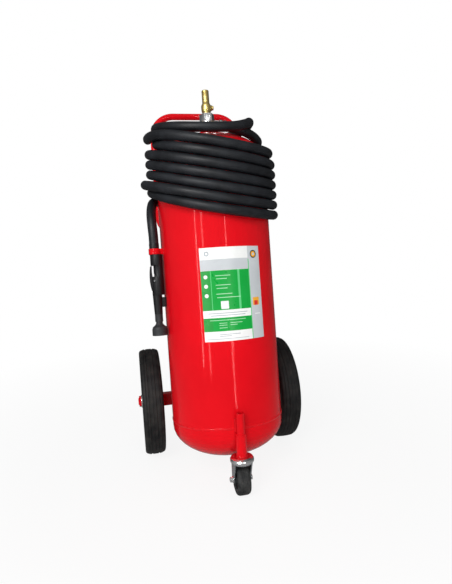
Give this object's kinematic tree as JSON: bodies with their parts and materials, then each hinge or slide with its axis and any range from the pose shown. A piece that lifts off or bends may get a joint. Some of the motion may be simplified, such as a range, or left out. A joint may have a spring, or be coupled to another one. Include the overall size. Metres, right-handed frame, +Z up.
{
  "type": "wheeled fire extinguisher",
  "caption": "Red steel cylinder on a two-wheel axle and a swivel caster, with a brass filling valve, a hose wound round its shoulder, a trigger gun and a pulling handle.",
  "frame": {"origin": "floor level, on the middle plane, midway between the front of the caster race and the back of the road wheels", "axes": "+Z up, front (label and caster side) towards -Y, +X to the right as the front is seen"},
  "size_m": [0.4786, 0.518, 1.0429],
  "materials": {
    "red_paint": "gloss enamel",
    "red_weld": "painted weld bead",
    "polished_steel": "polished",
    "zinc_steel": "zinc plated",
    "bright_shaft": "ground",
    "brass_gold": "polished",
    "hose_rubber": "satin black",
    "tyre_rubber": "matt black",
    "gun_black": "moulded",
    "gun_grey": "moulded",
    "seal_rubber": "matt",
    "bush_nylon": "moulded",
    "pvc_pipe": "extruded",
    "label_film": "printed film"
  },
  "bodies": {
    "chassis": {"cylinder_shell": "red_paint", "bottom_head": "red_paint", "top_head": "red_paint", "seam_welds": "red_weld", "neck_boss": "red_paint", "dip_tube": "pvc_pipe", "label_plate": "label_film", "axle_beam": "red_paint", "axle_plugs": "zinc_steel", "axle_saddles": "red_paint", "axle_shaft": "bright_shaft", "axle_collars": "red_paint", "axle_washers": "polished_steel", "hub_nuts": "red_paint", "caster_socket": "red_paint", "caster_stem": "red_paint", "stem_welds": "red_weld", "caster_king_pin": "bright_shaft", "caster_race": "polished_steel", "caster_balls": "bright_shaft", "carry_handle": "red_paint", "handle_feet": "red_paint", "handle_pads": "red_paint", "valve_body": "polished_steel", "valve_seal": "seal_rubber", "collar_nut": "polished_steel", "filling_valve": "brass_gold", "filling_spring": "bright_shaft", "port_plug": "brass_gold", "outlet_elbow": "polished_steel", "outlet_union": "polished_steel", "outlet_ferrule": "polished_steel", "hose_lead": "hose_rubber", "hose_coil": "hose_rubber", "hose_tail": "hose_rubber", "nozzle_clip": "red_paint", "nozzle_rest": "gun_black", "gun_ferrule": "gun_black", "gun_body": "gun_black", "lever_pin": "bright_shaft", "discharge_tube": "gun_black", "knurled_ring": "gun_grey", "nozzle_cup": "gun_grey"},
    "left_wheel": {"left_tyre": "tyre_rubber", "left_rim": "zinc_steel", "left_bushes": "bush_nylon"},
    "right_wheel": {"right_tyre": "tyre_rubber", "right_rim": "zinc_steel", "right_bushes": "bush_nylon"},
    "swivel_fork": {"caster_fork": "zinc_steel", "caster_bolt": "bright_shaft", "caster_nut": "polished_steel", "caster_sleeve": "bright_shaft"},
    "caster_wheel": {"caster_core": "gun_grey", "caster_tyre": "tyre_rubber"},
    "lever": {"gun_lever": "gun_black"},
    "plunger": {"gun_plunger": "bright_shaft"},
    "core": {"filling_core": "brass_gold"}
  },
  "joints": [
    {"name": "left_wheel_spin", "type": "hinge", "parent": "chassis", "child": "left_wheel", "pos_m": [-0.199, 0.10318, 0.156], "axis": [1, 0, 0], "continuous": true},
    {"name": "right_wheel_spin", "type": "hinge", "parent": "chassis", "child": "right_wheel", "pos_m": [0.199, 0.10318, 0.156], "axis": [1, 0, 0], "continuous": true},
    {"name": "caster_swivel", "type": "hinge", "parent": "chassis", "child": "swivel_fork", "pos_m": [0, -0.22968, 0.095], "axis": [0, 0, 1], "continuous": true},
    {"name": "caster_wheel_spin", "type": "hinge", "parent": "swivel_fork", "child": "caster_wheel", "pos_m": [0, -0.21468, 0.04], "axis": [1, 0, 0], "continuous": true},
    {"name": "gun_lever_squeeze", "type": "hinge", "parent": "chassis", "child": "lever", "pos_m": [-0.17788, -0.05685, 0.5338], "axis": [-0.1633, 0.9812, -0.1031], "range_deg": [0, 6], "stiffness_Nm_per_rad": 0.5, "springref_deg": -5.73},
    {"name": "gun_plunger_slide", "type": "slide", "parent": "chassis", "child": "plunger", "axis": [0.9866, 0.1624, -0.0171], "range_m": [0, 0.0008]},
    {"name": "filling_core_press", "type": "slide", "parent": "chassis", "child": "core", "axis": [0, -0.1045, -0.9945], "range_m": [0, 0.002], "stiffness_N_per_m": 200, "springref_m": -0.002}
  ],
  "couplings": [
    {"joint": "gun_plunger_slide", "follows": "gun_lever_squeeze", "m_per_rad": 0.007}
  ]
}
